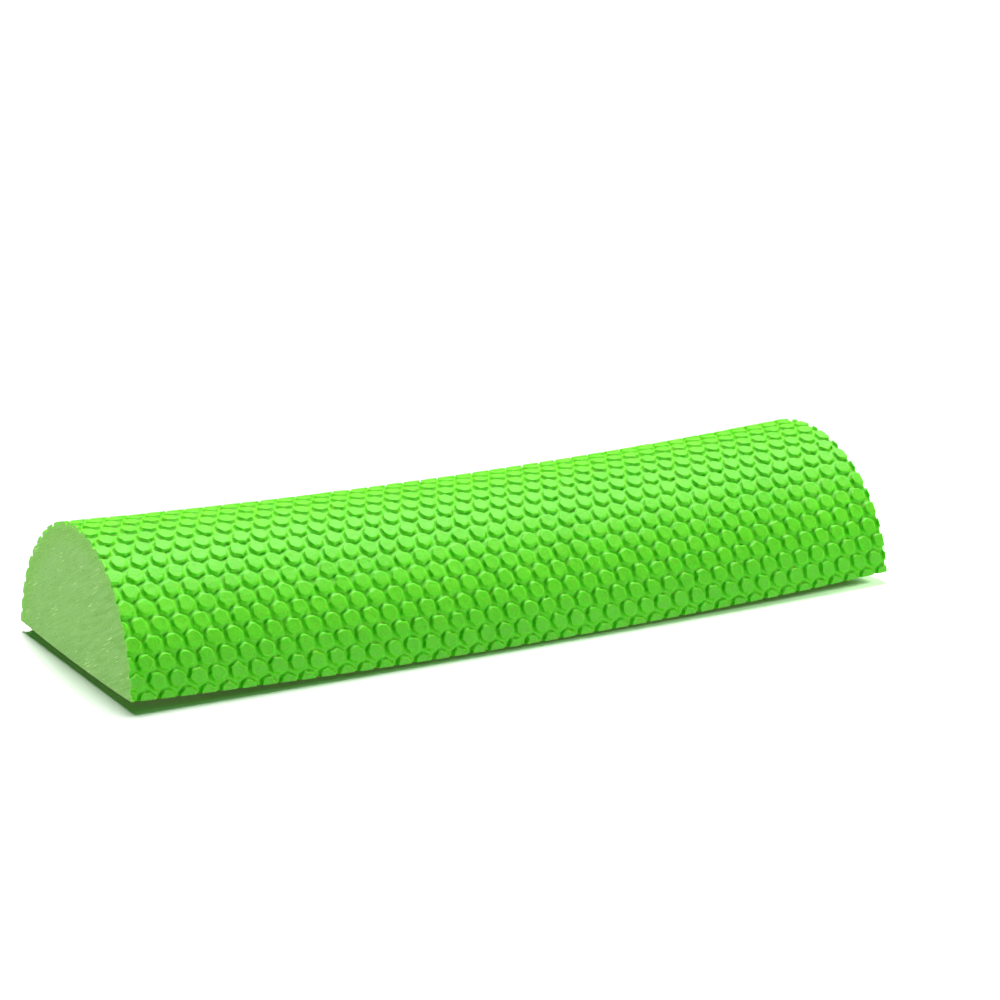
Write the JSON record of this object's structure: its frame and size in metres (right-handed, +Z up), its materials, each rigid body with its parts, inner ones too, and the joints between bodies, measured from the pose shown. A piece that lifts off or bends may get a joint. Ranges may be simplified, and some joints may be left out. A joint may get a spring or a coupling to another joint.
{
  "type": "half-round foam massage roller",
  "caption": "Half-round foam roller: one half of a sawn cylinder of closed-cell foam, flat side down, its arch covered with flat-topped moulded nubs.",
  "frame": {"origin": "middle of the flat base, on the surface that the roller lies on", "axes": "+X along the roller's length, +Y across it, +Z up from the flat base to the crown of the arch"},
  "size_m": [0.45, 0.1498, 0.071],
  "materials": {
    "sawn_foam": "matte sawn closed-cell EVA foam, pale green, with fine saw marks",
    "moulded_foam": "satin moulded skin of closed-cell EVA foam, bright lime green"
  },
  "bodies": {
    "root": {"foam_core": "sawn_foam", "nubbed_skin": "moulded_foam"}
  },
  "joints": []
}
